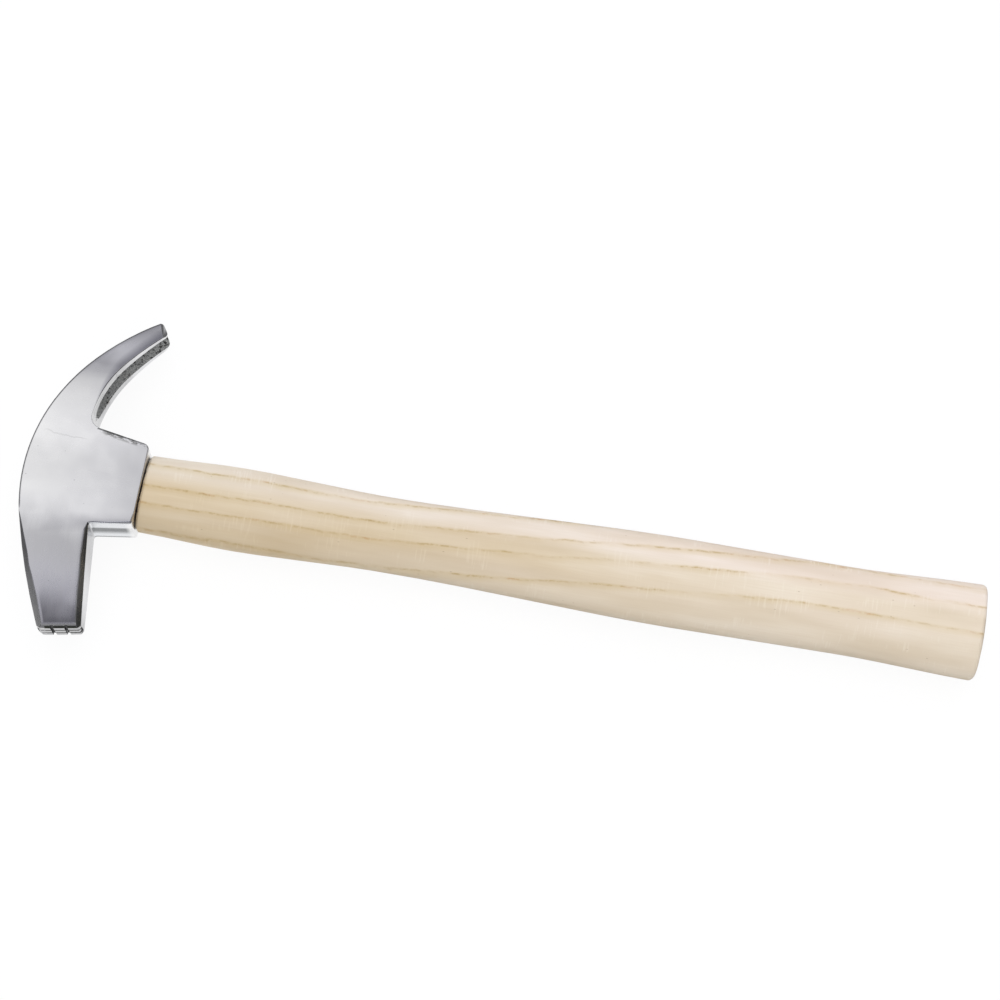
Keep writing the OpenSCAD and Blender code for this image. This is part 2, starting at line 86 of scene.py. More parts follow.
# The boss's rear and lower edges are ground almost square, so that their breaks stand steep
REAR_X = 20.25 * MM
BOSS_LEAN = math.tan(math.radians(2.5))
BOSS_LIFT = 0.9 * MM
BOSS_HALF_Y = 14.5 * MM
BOSS_FRONT_X = 5.5 * MM
BOSS_BOTTOM = -13.15 * MM
BOSS_DROP = math.tan(math.radians(8))
TOUCHES_CHEEK = 0.02 * MM
BREAK_DEPTH = 0.3 * MM
REAR_BREAK, REAR_BREAK_MOVE = (-0.75 * MM, -0.3 * MM), 0.45 * MM
LOWER_BREAK, LOWER_BREAK_MOVE = (0.7 * MM, 1.4 * MM), 0.8 * MM
INNER_CORNER, CORNER_REACH = Vector((3.95, -14.18)) * MM, 0.6 * MM
CORNER_MOVE_X, CORNER_MOVE_Y = 0.8 * MM, -0.7 * MM
for vertex in mesh.vertices:
    x, y, z = vertex.co
    from_cheek = min(z, CHEEK_Z - z)
    behind = x - REAR_X - BOSS_LEAN * (y - BOSS_LIFT)
    below = y - BOSS_BOTTOM + BOSS_DROP * (REAR_X - x)
    if from_cheek < TOUCHES_CHEEK and REAR_BREAK[0] < behind < REAR_BREAK[1] and abs(y) < BOSS_HALF_Y:
        vertex.co.x += REAR_BREAK_MOVE
    if from_cheek < TOUCHES_CHEEK and LOWER_BREAK[0] < below < LOWER_BREAK[1] and x > BOSS_FRONT_X:
        vertex.co.y -= LOWER_BREAK_MOVE
    if from_cheek < BREAK_DEPTH and (Vector((x, y)) - INNER_CORNER).length < CORNER_REACH:
        vertex.co.x += CORNER_MOVE_X
        vertex.co.y += CORNER_MOVE_Y
mesh.update()

# Ground edges are rolled over. Those inside the slot and where the front chamfers run out
# stay as they are.
ROLL = 0.2 * MM
INNER_CLAW_ROLL = 0.15 * MM
TIP_ROLL = 0.12 * MM
REAR_CHAMFER_ROLL = 0.6 * MM
WIDEST_ROLL = 1 * MM
SHARP = math.radians(22)
CLAW_FROM_Y, TIP_FROM_Y = 21 * MM, 54 * MM
SLOT_EDGE = 1.2 * MM
RUN_OUT_Y, RUN_OUT_X = (-21 * MM, -11 * MM), -15 * MM
REAR_CHAMFER_Y, REAR_CHAMFER_X = -19 * MM, 4 * MM
CLAW_HALF_WIDTH, TAPER_FROM_Y, TAPER = MIDDLE_Z, 33 * MM, 0.2
CHEEK_NORMAL = 0.9


def claw_half_width(y):
    """Half the claw's width at a height, where its cheeks taper to the tip."""
    return CLAW_HALF_WIDTH - max(y - TAPER_FROM_Y, 0) * TAPER


def rolled_width(a, b, middle):
    """How far the edge between two faces is rolled over, from where it lies."""
    across = abs(middle.z - MIDDLE_Z)
    cheek = a if abs(a.normal.z) > abs(b.normal.z) else b
    side = b if cheek is a else a
    if middle.y > CLAW_FROM_Y:
        if across < claw_half_width(middle.y) - SLOT_EDGE:
            return 0
        if middle.y > TIP_FROM_Y:
            return TIP_ROLL
        return ROLL if side.normal.x < 0 else INNER_CLAW_ROLL
    if RUN_OUT_Y[0] < middle.y < RUN_OUT_Y[1] and middle.x < RUN_OUT_X:
        return 0
    on_cheek = abs(cheek.normal.z) > CHEEK_NORMAL
    if middle.y < REAR_CHAMFER_Y and middle.x > REAR_CHAMFER_X and on_cheek:
        return REAR_CHAMFER_ROLL
    return ROLL


weights = mesh.attributes.new("bevel_weight_edge", "FLOAT", "EDGE")
sides = {}
for face in mesh.polygons:
    for key in face.edge_keys:
        sides.setdefault(key, []).append(face)
for edge in mesh.edges:
    if len(sides[edge.key]) != 2:
        continue
    a, b = sides[edge.key]
    middle = (mesh.vertices[edge.vertices[0]].co + mesh.vertices[edge.vertices[1]].co) / 2
    convex = (b.center - middle).dot(a.normal) < 0
    if convex and a.normal.angle(b.normal) > SHARP:
        weights.data[edge.index].value = rolled_width(a, b, middle) / WIDEST_ROLL

only(forged_head)
roll = forged_head.modifiers.new("rolled_edges", "BEVEL")
roll.limit_method = "WEIGHT"
roll.width = WIDEST_ROLL
roll.segments = 3
roll.use_clamp_overlap = False
roll.miter_outer = "MITER_SHARP"
bpy.ops.object.modifier_apply(modifier=roll.name)

# A rolled corner may not stand out of the forging
for vertex in mesh.vertices:
    vertex.co.z = min(max(vertex.co.z, 0), CHEEK_Z)

bpy.ops.object.shade_smooth_by_angle(angle=math.radians(35))
smooth = forged_head.modifiers.new("flat_faces_stay_flat", "WEIGHTED_NORMAL")
smooth.mode = "FACE_AREA"
smooth.weight = 60
smooth.keep_sharp = True
bpy.ops.object.modifier_apply(modifier=smooth.name)

# Marks on the faces, which the material reads
SLOT_FROM_Y, SLOT_HALF = 20 * MM, 7.5 * MM
EYE_HALF_Y, EYE_HALF_Z = 11 * MM, 9.6 * MM
BOSS_SIDE_X, BOSS_SIDE_Y = 5 * MM, (-17 * MM, -11 * MM)
RESTING_Z = 1.2 * MM
BEVEL_Y = -50 * MM
REAR_CHAMFER_SHADE, OTHER_SHADE = 0.8, 0.95
FACE_LEAN = math.radians(10)
FACE_MIDDLE = Vector((1.4, -51.5, 12.7)) * MM
FACE_OUT = Vector((math.sin(FACE_LEAN), -math.cos(FACE_LEAN), 0))
FACE_ALONG = Vector((-FACE_OUT.y, FACE_OUT.x, 0))
INNER_PADS = 6.6 * MM
GROOVE_DEPTH, NOTCH_DEPTH, GROOVE_BOTTOM = 0.9 * MM, 1.3 * MM, (0.3 * MM, 1.2 * MM)
PADS_HALF_Z, MIDDLE_PAD_HALF_Z = 7.7 * MM, 6 * MM
NOTCH_HALF_Z = (0.2 * MM, 11 * MM)


def forged_skin(face):
    """The nail slot and the eye, which were left as forged."""
    across = face.center.z - MIDDLE_Z
    towards_middle = -face.normal.z * (1 if across > 0 else -1)
    in_slot = face.center.y > SLOT_FROM_Y and abs(across) < SLOT_HALF and towards_middle > 0.5
    outwards = Vector((0, face.center.y, across)).normalized().dot(face.normal)
    in_eye = abs(face.center.y) < EYE_HALF_Y and abs(across) < EYE_HALF_Z and outwards < -0.3
    return in_slot or in_eye


def boss_lower_side(face):
    """The lower side of the boss."""
    along_boss = face.center.x > BOSS_SIDE_X and BOSS_SIDE_Y[0] < face.center.y < BOSS_SIDE_Y[1]
    return along_boss and face.normal.y < -0.7


def groove_faces(face):
    """The walls, bottoms and open ends of the grooves in the striking face."""
    across = abs(face.center.z - MIDDLE_Z)
    from_middle = face.center - FACE_MIDDLE
    depth = -from_middle.dot(FACE_OUT)
    inner = abs(from_middle.dot(FACE_ALONG)) < INNER_PADS
    along = face.normal.dot(FACE_ALONG)
    crossing = Vector((along, face.normal.z)).length > 0.9
    bottom = GROOVE_BOTTOM[0] < depth < GROOVE_BOTTOM[1] and face.normal.dot(FACE_OUT) > 0.9
    notch = inner and 0 < depth < NOTCH_DEPTH and abs(along) > 0.8
    open_end = notch and NOTCH_HALF_Z[0] < across < NOTCH_HALF_Z[1]
    wall = crossing and 0 < depth < GROOVE_DEPTH and across < PADS_HALF_Z
    return bottom or open_end or (wall and (inner or across < MIDDLE_PAD_HALF_Z))


def shaded_side(face):
    """The poll's rear chamfers, its face's bevels, and the lowest edge of the boss and the claw, which
    are painted in shade.
    """
    aslant = 0.4 < abs(face.normal.z) < CHEEK_NORMAL
    if aslant and face.normal.x > 0.5 and face.center.y < POLL_TOP_Y:
        return REAR_CHAMFER_SHADE
    face_bevel = aslant and face.normal.y < -0.5 and face.center.y < BEVEL_Y
    boss_or_claw = face.center.x > BOSS_SIDE_X and face.center.y > BOSS_SIDE_Y[0]
    resting = boss_or_claw and face.normal.y < -0.4 and face.center.z < RESTING_Z
    return OTHER_SHADE if face_bevel or resting else 0


def facing_up(face):
    """How squarely a face looks up or down."""
    return abs(face.normal.z)


MARKS = (forged_skin, boss_lower_side, groove_faces, shaded_side, facing_up)
for mark in MARKS:
    mesh.attributes.new(mark.__name__, "FLOAT", "FACE")
for mark in MARKS:
    marked = mesh.attributes[mark.__name__].data
    for face in mesh.polygons:
        marked[face.index].value = float(mark(face))

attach(forged_head, "root")
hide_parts("head")


def feed(tree, made, inputs):
    """Sets a node's inputs to values, or links them where sockets are given."""
    for name, value in inputs.items():
        if isinstance(value, bpy.types.NodeSocket):
            tree.links.new(value, made.inputs[name])
        else:
            made.inputs[name].default_value = value


def node(tree, kind, inputs=None, **settings):
    """Adds a shader node with its settings and its inputs."""
    made = tree.nodes.new(kind)
    for name, value in settings.items():
        setattr(made, name, value)
    feed(tree, made, inputs or {})
    return made


def maths(tree, operation, a, b=0.0, clamp=False):
    """Value of a Math node."""
    return node(tree, "ShaderNodeMath", {0: a, 1: b}, operation=operation, use_clamp=clamp).outputs[0]


def joined(tree, operation, first, others):
    """Values taken together one after another."""
    for other in others:
        first = maths(tree, operation, first, other)
    return first


def product(tree, first, *others):
    """Values multiplied together."""
    return joined(tree, "MULTIPLY", first, others)


def total(tree, first, *others):
    """Values added up."""
    return joined(tree, "ADD", first, others)


def largest(tree, first, *others):
    """The largest of some values."""
    return joined(tree, "MAXIMUM", first, others)


def remap(tree, value, low, high, to_low=0.0, to_high=1.0, smooth=False):
    """Value moved from one range to another and held at its ends."""
    kind = "SMOOTHSTEP" if smooth else "LINEAR"
    return node(tree, "ShaderNodeMapRange", {"Value": value, "From Min": low, "From Max": high,
                "To Min": to_low, "To Max": to_high}, interpolation_type=kind).outputs[0]


def scaled(tree, vector, factors):
    """A vector stretched along its axes."""
    return node(tree, "ShaderNodeVectorMath", {0: vector, 1: factors}, operation="MULTIPLY").outputs[0]


def from_line(tree, in_mm, x_share, y_share, start=0.0):
    """A value that grows to one side of a straight line of the side view."""
    across = node(tree, "ShaderNodeVectorMath", {0: in_mm, 1: (x_share, y_share, 0)},
                  operation="DOT_PRODUCT").outputs["Value"]
    return maths(tree, "ADD", across, start)


def between(tree, share, a, b):
    """A value mixed from two by a share."""
    return node(tree, "ShaderNodeMix", {0: share, 2: a, 3: b}).outputs[0]


def blend(tree, share, a, b, blend_type="MIX"):
    """Two colours mixed by a share."""
    mix = node(tree, "ShaderNodeMix", {0: share, 6: a, 7: b}, data_type="RGBA", blend_type=blend_type)
    return mix.outputs[2]


def laid_over(tree, tone, mask, strength, colour):
    """A tone with a colour laid over it where a mask says, at a strength."""
    return blend(tree, product(tree, mask, strength), tone, colour)


def noise(tree, vector, per_mm, detail=2.0, roughness=0.5):
    """Value of a noise about one half, as fine along each axis as it says."""
    if isinstance(per_mm, tuple):
        vector = scaled(tree, vector, per_mm)
        per_mm = 1.0
    return node(tree, "ShaderNodeTexNoise", {"Vector": vector, "Scale": per_mm, "Detail": detail,
                "Roughness": roughness}).outputs["Fac"]


def wander(tree, amount, *noise_of):
    """A noise to either side of zero, in mm."""
    return product(tree, maths(tree, "SUBTRACT", noise(tree, *noise_of), 0.5), amount)


def ramp(tree, value, stops, interpolation="LINEAR"):
    """Colour at a value between 0 and 1."""
    made = node(tree, "ShaderNodeValToRGB", {0: value})
    row = made.color_ramp
    row.interpolation = interpolation
    while len(row.elements) < len(stops):
        row.elements.new(0.5)
    for element, (position, colour) in zip(row.elements, stops):
        element.position = position
        element.color = (*colour, 1)
    return made.outputs[0]


def bumped(tree, height, distance, strength):
    """A normal that follows a height."""
    return node(tree, "ShaderNodeBump", {"Height": height, "Distance": distance,
                "Strength": strength}).outputs[0]


def new_group(name, inputs, outputs):
    """An empty node group with float and vector inputs and float outputs."""
    group = bpy.data.node_groups.new(name, "ShaderNodeTree")
    for socket, kind in inputs:
        group.interface.new_socket(socket, in_out="INPUT", socket_type=kind)
    for socket in outputs:
        group.interface.new_socket(socket, in_out="OUTPUT", socket_type="NodeSocketFloat")
    return group, group.nodes.new("NodeGroupInput").outputs, group.nodes.new("NodeGroupOutput")


def use_group(tree, group, inputs):
    """Value of a node group placed in a material."""
    return node(tree, "ShaderNodeGroup", inputs, node_tree=group).outputs[0]


# Small dark or light dots, scattered in patches
specks, given, result = new_group(
    "specks",
    [("Vector", "NodeSocketVector"), ("Per mm", "NodeSocketFloat"),
     ("Size", "NodeSocketFloat"), ("Share", "NodeSocketFloat")],
    ["Mask"])
cells = node(specks, "ShaderNodeTexVoronoi", {"Vector": given["Vector"], "Scale": given["Per mm"]})
near = maths(specks, "LESS_THAN", cells.outputs["Distance"], given["Size"])
chosen = node(specks, "ShaderNodeSeparateColor", {0: cells.outputs["Color"]}).outputs[0]
picked = maths(specks, "LESS_THAN", chosen, given["Share"])
feed(specks, result, {"Mask": product(specks, near, picked)})

# Fine marks drawn out in one direction, as by a belt, a file or the growth of wood
streaks, given, result = new_group(
    "streaks",
    [("Vector", "NodeSocketVector"), ("Stretch", "NodeSocketVector"), ("Contrast", "NodeSocketFloat")],
    ["Value"])
drawn_out = noise(streaks, scaled(streaks, given["Vector"], given["Stretch"]), 1.0, 3.0, 0.6)
widened = product(streaks, maths(streaks, "SUBTRACT", drawn_out, 0.5), given["Contrast"])
feed(streaks, result, {"Value": maths(streaks, "ADD", widened, 0.5, clamp=True)})


def new_material(name):
    """A material with its tree, its Principled BSDF and its Object coordinates in mm."""
    made = bpy.data.materials.new(name)
    made.use_nodes = True
    tree = made.node_tree
    place = tree.nodes.new("ShaderNodeTexCoord").outputs["Object"]
    in_mm = scaled(tree, place, (1000, 1000, 1000))
    return made, tree, tree.nodes["Principled BSDF"], in_mm


def wear(piece, material):
    """Gives a piece one material."""
    piece.data.materials.clear()
    piece.data.materials.append(material)


steel, tree, bsdf, in_mm = new_material("forged_steel")
x_mm, y_mm, z_mm = node(tree, "ShaderNodeSeparateXYZ", {0: in_mm}).outputs
rough_skin, under_boss, in_grooves, in_shade, upward = (
    node(tree, "ShaderNodeAttribute", attribute_name=mark.__name__).outputs["Fac"] for mark in MARKS)
on_cheek = maths(tree, "GREATER_THAN", upward, CHEEK_NORMAL)

# Cheeks: pale satin steel with soft patches from the belt, and a painted highlight that makes them
# brighter towards the crown
SATIN, PALE_SATIN = (0.585, 0.585, 0.60, 1), (0.655, 0.655, 0.665, 1)
BRUSHED_STEEL = (0.66, 0.66, 0.67, 1)
CROWN_HIGHLIGHT = (0.81, 0.81, 0.80, 1)
SCRATCHED_STEEL = (0.5, 0.5, 0.53, 1)
DARK_DOT = (0.24, 0.24, 0.25, 1)
upright = use_group(tree, streaks, {"Vector": in_mm, "Stretch": (0.9, 0.1, 0.6), "Contrast": 1.2})
level = use_group(tree, streaks, {"Vector": in_mm, "Stretch": (0.06, 0.15, 0.3), "Contrast": 1.0})
brushed = between(tree, remap(tree, y_mm, -4.0, -20.0), level, upright)
patches = remap(tree, noise(tree, in_mm, 0.12, 1.0), 0.35, 0.65, smooth=True)
tone = blend(tree, patches, SATIN, PALE_SATIN)
tone = laid_over(tree, tone, brushed, 0.5, BRUSHED_STEEL)
# Painted highlight: the cheeks are painted brighter towards the crown
crown_highlight = product(tree, remap(tree, x_mm, 8.0, -18.0), remap(tree, y_mm, -16.0, -6.0))
tone = laid_over(tree, tone, crown_highlight, 0.62, CROWN_HIGHLIGHT)
fine = use_group(tree, streaks, {"Vector": in_mm, "Stretch": (4.0, 0.35, 2.0), "Contrast": 1.2})
tone = laid_over(tree, tone, fine, 0.10, SCRATCHED_STEEL)
dots = use_group(tree, specks, {"Vector": in_mm, "Per mm": 0.42, "Size": 0.09, "Share": 0.16})
tone = laid_over(tree, tone, dots, 0.45, DARK_DOT)

# Painted reflection: each cheek is painted lighter and darker in bands along its height, as the steel's
# reflections fall there, at the heights listed
BANDS_FROM, BANDS_TO = -56.0, 60.0
REFLECTION_BANDS = (
    (-49, 0.64),  # above the striking face
    (-38, 1.27),  # middle of the poll
    (-21, 0.82),  # root of the poll
    (-9, 1.05),  # foot of the boss
    (6, 0.97),  # beside the eye
    (17, 1.07),  # top of the eye
    (39, 0.83),  # root of the claw
    (48, 1.27),  # prongs
    (57, 0.88),  # tip
)
DARKER_REAR = (0.40, 0.40, 0.42, 1)
band_place = total(tree, y_mm, product(tree, patches, 2.0))
band_shading = ramp(tree, remap(tree, band_place, BANDS_FROM, BANDS_TO),
                 [((y - BANDS_FROM) / (BANDS_TO - BANDS_FROM), (share,) * 3) for y, share in REFLECTION_BANDS],
                 "EASE")
# The painted light and shade of the bands is multiplied into the tone
tone = blend(tree, 1.0, tone, band_shading, "MULTIPLY")
# The cheek is darkened towards the rear of the boss
darker_rear = product(tree, remap(tree, x_mm, 8.0, 20.0, smooth=True), remap(tree, y_mm, 22.0, 14.0))
tone = laid_over(tree, tone, darker_rear, 0.4, DARKER_REAR)

# A long fine scratch across the cheek above the eye, and scuffs along the boss's upper edge
SCRATCH_FROM, SCRATCH_TO = (-14.8, 14.1), (-1.6, 13.2)
SCRATCH = (0.38, 0.38, 0.38, 1)
SCUFF = (0.13, 0.13, 0.125, 1)
BOSS_TOP_SLOPE = 0.167
scratch_y = remap(tree, x_mm, SCRATCH_FROM[0], SCRATCH_TO[0], SCRATCH_FROM[1], SCRATCH_TO[1])
wavering_y = total(tree, y_mm, wander(tree, 2.2, in_mm, (0.35, 0.1, 0.1)))
from_scratch = maths(tree, "ABSOLUTE", maths(tree, "SUBTRACT", wavering_y, scratch_y))
scratch = product(tree, remap(tree, from_scratch, 0.28, 0.08),
                  remap(tree, x_mm, -16.0, -13.0), remap(tree, x_mm, 0.0, -3.0))
tone = laid_over(tree, tone, scratch, 0.30, SCRATCH)
boss_top = from_line(tree, in_mm, BOSS_TOP_SLOPE, 1.0)
scuffs = product(tree, remap(tree, boss_top, 16.3, 17.3), remap(tree, boss_top, 18.6, 18.3),
                 remap(tree, x_mm, 3.0, 6.0), maths(tree, "GREATER_THAN", upward, 0.35),
                 remap(tree, noise(tree, in_mm, (0.45, 0.9, 0.5), 3.0, 0.7), 0.46, 0.56))
tone = laid_over(tree, tone, scuffs, 0.85, SCUFF)

# Lower side of the boss: painted bright, a painted reflection, with a painted dark reflection in a band
# along the middle and a painted shadow as a dark line along its lowest edge. The rear of the boss is
# painted brightest, a painted highlight.
BOSS_HIGHLIGHT = (0.86, 0.88, 0.91, 1)
DARK_REFLECTION = (0.08, 0.09, 0.10, 1)
REAR_HIGHLIGHT = (0.97, 0.97, 0.97, 1)
reflected_band = product(tree, remap(tree, z_mm, 6.5, 12.0), remap(tree, z_mm, 18.4, 16.0, smooth=True),
               under_boss)
contact_shadow = product(tree, remap(tree, z_mm, 3.6, 2.2), under_boss, 0.8)
tone = laid_over(tree, tone, under_boss, 0.85, BOSS_HIGHLIGHT)
tone = blend(tree, largest(tree, reflected_band, contact_shadow), tone, DARK_REFLECTION)
# Painted highlight on the rear of the boss
rear_highlight = product(tree, maths(tree, "LESS_THAN", upward, 0.3), remap(tree, x_mm, 17.0, 18.5))
tone = laid_over(tree, tone, rear_highlight, 0.8, REAR_HIGHLIGHT)

# The cheeks roll over towards their ground edges, and beside those of the claw, the boss and the poll's
# rear chamfer they are painted darker, a painted shade for the dark reflection of the rolled steel. Each
# edge is an arc or a line of the side view.
INNER_ROOT = ((40.14, 16.72, 0), 41.0)
INNER_TIP = ((92.92, -22.91, 0), 107.0)
INNER_ARCS_MEET = 41.34
CROWN = ((40.05, -1.30, 0), 60.3)
OUTER_CLAW = ((62.97, -14.00, 0), 86.5)
OUTER_ARCS_MEET = 27.93
CHAMFER_TOP_X, CHAMFER_RUN = 3.0, 0.075
EDGE_SHADE = (0.20, 0.20, 0.235, 1)
flat = scaled(tree, in_mm, (1, 1, 0))


def from_arc(arc):
    """Distance from an arc of the side view."""
    centre, radius = arc
    from_centre = node(tree, "ShaderNodeVectorMath", {0: flat, 1: centre},
                       operation="DISTANCE").outputs["Value"]
    return maths(tree, "ABSOLUTE", maths(tree, "SUBTRACT", from_centre, radius))


def from_arcs(lower, upper, meet):
    """Distance from an edge of two arcs, which meet at a height."""
    return between(tree, maths(tree, "GREATER_THAN", y_mm, meet), from_arc(lower), from_arc(upper))


def beside(distance, width):
    """A share that falls from 1 at an edge to 0 at a distance from it."""
    return maths(tree, "SUBTRACT", 1.0, maths(tree, "DIVIDE", distance, width, clamp=True))


def roll_over(distance, width, slope):
    """Height lost beside an edge, which grows to a slope at the edge itself."""
    left = beside(distance, width)
    return product(tree, left, left, width * slope / 2)


from_inner = from_arcs(INNER_ROOT, INNER_TIP, INNER_ARCS_MEET)
from_outer = from_arcs(CROWN, OUTER_CLAW, OUTER_ARCS_MEET)
from_boss = maths(tree, "ABSOLUTE",
                  from_line(tree, in_mm, -BOSS_DROP, 1.0, (REAR_X * BOSS_DROP - BOSS_BOTTOM) / MM))
from_chamfer = from_line(tree, in_mm, 1.0, CHAMFER_RUN, -CHAMFER_TOP_X)
up_the_claw = remap(tree, y_mm, 24.0, 34.0)
inner_width = remap(tree, y_mm, 25.0, 44.0, 0.3, 3.4)
inner_shade = product(tree, beside(from_inner, inner_width), up_the_claw)
outer_shade = product(tree, beside(from_outer, 1.6), remap(tree, y_mm, 30.0, 42.0, 0.0, 0.45))
boss_shade = product(tree, beside(from_boss, 2.0), remap(tree, x_mm, 4.5, 7.5, 0.0, 0.5))
poll_shade = product(tree, remap(tree, from_chamfer, -1.6, 0.6),
                    remap(tree, y_mm, -14.0, -19.0, 0.0, 0.62))
# Painted shade beside the edges, on the cheeks only
edge_shading = product(tree, largest(tree, inner_shade, outer_shade, boss_shade, poll_shade), on_cheek,
               remap(tree, y_mm, 38.0, 50.0, 0.75, 0.95))
tone = blend(tree, edge_shading, tone, EDGE_SHADE)

# Painted shade: the rear chamfers, the bevels round the face and the lowest edges of the boss and the
# claw are painted darker, except for a painted highlight, a bright strip along the face and along the
# end of each front chamfer, which turns pale there
SHADED_STEEL = (0.10, 0.105, 0.08, 1)
HIGHLIGHT_STRIP = (0.96, 0.96, 0.96, 1)
FRONT_SLOPE, FRONT_START = 0.338, 21.72
above_face = from_line(tree, in_mm, -FACE_OUT.x, -FACE_OUT.y, FACE_MIDDLE.dot(FACE_OUT) / MM)
chamfer_shade = between(tree, remap(tree, y_mm, -50.5, -49.0), remap(tree, above_face, 0.95, 0.7),
                        remap(tree, from_chamfer, 0.3, 2.1, 0.74, 0.99))
tone = blend(tree, product(tree, in_shade, chamfer_shade), tone, SHADED_STEEL)
past_edge = from_line(tree, in_mm, 1.0, FRONT_SLOPE, FRONT_START)
edge_strip = product(tree, remap(tree, past_edge, 1.0, 0.5), remap(tree, y_mm, -38.0, -46.0))
face_strip = product(tree, remap(tree, above_face, 2.1, 1.4), remap(tree, above_face, 0.6, 0.9))
chamfer_end = product(tree, remap(tree, past_edge, 0.2, -0.2),
                      remap(tree, y_mm, -34.0, -46.0, 0.0, 0.85))
# Painted highlight along the face and the ends of the front chamfers
painted_highlight = product(tree, largest(tree, edge_strip, face_strip, chamfer_end),
                 maths(tree, "GREATER_THAN", upward, 0.1), remap(tree, from_chamfer, 0.4, 0.0),
                 remap(tree, y_mm, -36.0, -44.0))
tone = laid_over(tree, tone, painted_highlight, 0.85, HIGHLIGHT_STRIP)

# Forged skin: dark grey-green scale with pits, more of them near the tip
DARK_SCALE, PALE_SCALE = (0.28, 0.29, 0.285, 1), (0.47, 0.48, 0.47, 1)
PIT = (0.04, 0.04, 0.04, 1)
lumps = noise(tree, in_mm, 1.5, 4.0, 0.65)
scale_tone = blend(tree, remap(tree, lumps, 0.35, 0.65), DARK_SCALE, PALE_SCALE)
near_tip = remap(tree, y_mm, 42.0, 56.0, 0.0, 0.07)
pits = remap(tree, total(tree, noise(tree, in_mm, 0.9, 3.0, 0.7), near_tip), 0.57, 0.63)
scale_tone = blend(tree, pits, scale_tone, PIT)
tone = blend(tree, rough_skin, tone, scale_tone)

# The grooves of the striking face are darkened almost to black
NEAR_BLACK = (0.012, 0.012, 0.012, 1)
tone = blend(tree, in_grooves, tone, NEAR_BLACK)
not_bare = largest(tree, product(tree, rough_skin, 0.6), in_grooves)

# Ground surfaces shine, and scale and the darkened grooves don't. The rolled edges, the scale and the
# finest scratches stand in the relief.
ROUGH = 0.65
SCALE_RELIEF, SCRATCH_RELIEF = 0.28, 0.004
satin = remap(tree, brushed, 0.2, 0.8, 0.25, 0.31)
roughness = between(tree, largest(tree, rough_skin, in_grooves), satin, ROUGH)
inner_roll = product(tree, roll_over(from_inner, 0.5, 1.1), up_the_claw)
outer_roll = product(tree, roll_over(from_outer, 0.65, 1.1), remap(tree, y_mm, -14.5, -12.0))
boss_roll = product(tree, roll_over(from_boss, 0.8, 0.9), remap(tree, x_mm, 5.0, 6.5))
rolled = product(tree, total(tree, inner_roll, outer_roll, boss_roll), on_cheek, -1.0)
relief = total(tree, product(tree, lumps, rough_skin, SCALE_RELIEF),
               product(tree, fine, SCRATCH_RELIEF), rolled)
feed(tree, bsdf, {"Base Color": tone, "Metallic": maths(tree, "SUBTRACT", 1.0, not_bare),
                  "Roughness": roughness, "Normal": bumped(tree, relief, MM, 1.0)})
wear(forged_head, steel)

# HANDLE
# One piece of straight-grained ash, turned oval, sanded and given a thin matt varnish.
# Its tongue fills the eye. The rings cross the upper side as thin broken lines.

ash_handle = merged_copy("handle", "ash_handle", weld=0.002 * MM)

# The shoulder was driven up to the head, and stands off by a hair
SHOULDER_X = 21.05 * MM
SHOULDER_EDGE = (-0.2 * MM, 1.2 * MM)
DRIVEN_UP = 0.42 * MM
for vertex in ash_handle.data.vertices:
    from_shoulder = vertex.co.x - SHOULDER_X - BOSS_LEAN * (vertex.co.y - BOSS_LIFT)
    if SHOULDER_EDGE[0] < from_shoulder < SHOULDER_EDGE[1]:
        vertex.co.x -= DRIVEN_UP
bpy.ops.object.shade_smooth_by_angle(angle=math.radians(32))
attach(ash_handle, "root")
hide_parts("handle")

# Where the rings lie: nearly straight near the head, and rising across the wood past it
ash, tree, bsdf, in_mm = new_material("ash")
x_mm, y_mm, z_mm = node(tree, "ShaderNodeSeparateXYZ", {0: in_mm}).outputs
RING_TILT = 0.12
UPPER_SIDE_Z = 25.0
GRAIN_RISE = 11.6
RING_FROM, RING_TO = -32.0, 32.0
RINGS = (-30.0, -13.6, -4.8, 1.4, 8.6, 16.5, 24.5)
rise = remap(tree, x_mm, 80.0, 268.0, 0.0, GRAIN_RISE, smooth=True)
tilt = product(tree, maths(tree, "SUBTRACT", z_mm, UPPER_SIDE_Z), RING_TILT)
sway = wander(tree, 2.4, in_mm, (0.022, 0.05, 0.05))
jitter = wander(tree, 0.9, in_mm, (0.25, 0.1, 0.1))
ring_place = total(tree, maths(tree, "SUBTRACT", y_mm, rise), tilt, sway, jitter)


def ring_lines(soft_side, crisp_side):
    """A share that rises towards each ring, softly on one side and crisply on the other."""
    stops = []
    for ring in RINGS:
        for offset, share in ((-soft_side, 0.0), (0.0, 1.0), (crisp_side, 0.0)):
            stops.append(((ring + offset - RING_FROM) / (RING_TO - RING_FROM), (share,) * 3))
    return ramp(tree, remap(tree, ring_place, RING_FROM, RING_TO), stops)


# The rings are broken lines, clearer near the head, each with a soft darker side
dashes = remap(tree, noise(tree, in_mm, (0.4, 0.5, 0.5), 3.0, 0.7), 0.42, 0.6)
broken = largest(tree, remap(tree, noise(tree, in_mm, (0.05, 0.25, 0.1), 3.0, 0.6), 0.38, 0.6),
                 remap(tree, x_mm, 130.0, 60.0, 0.0, 0.7))
soft_line = product(tree, ring_lines(2.2, 0.8), remap(tree, broken, 0.0, 1.0, 0.3, 1.0))
line = product(tree, ring_lines(0.55, 0.35), broken, dashes)

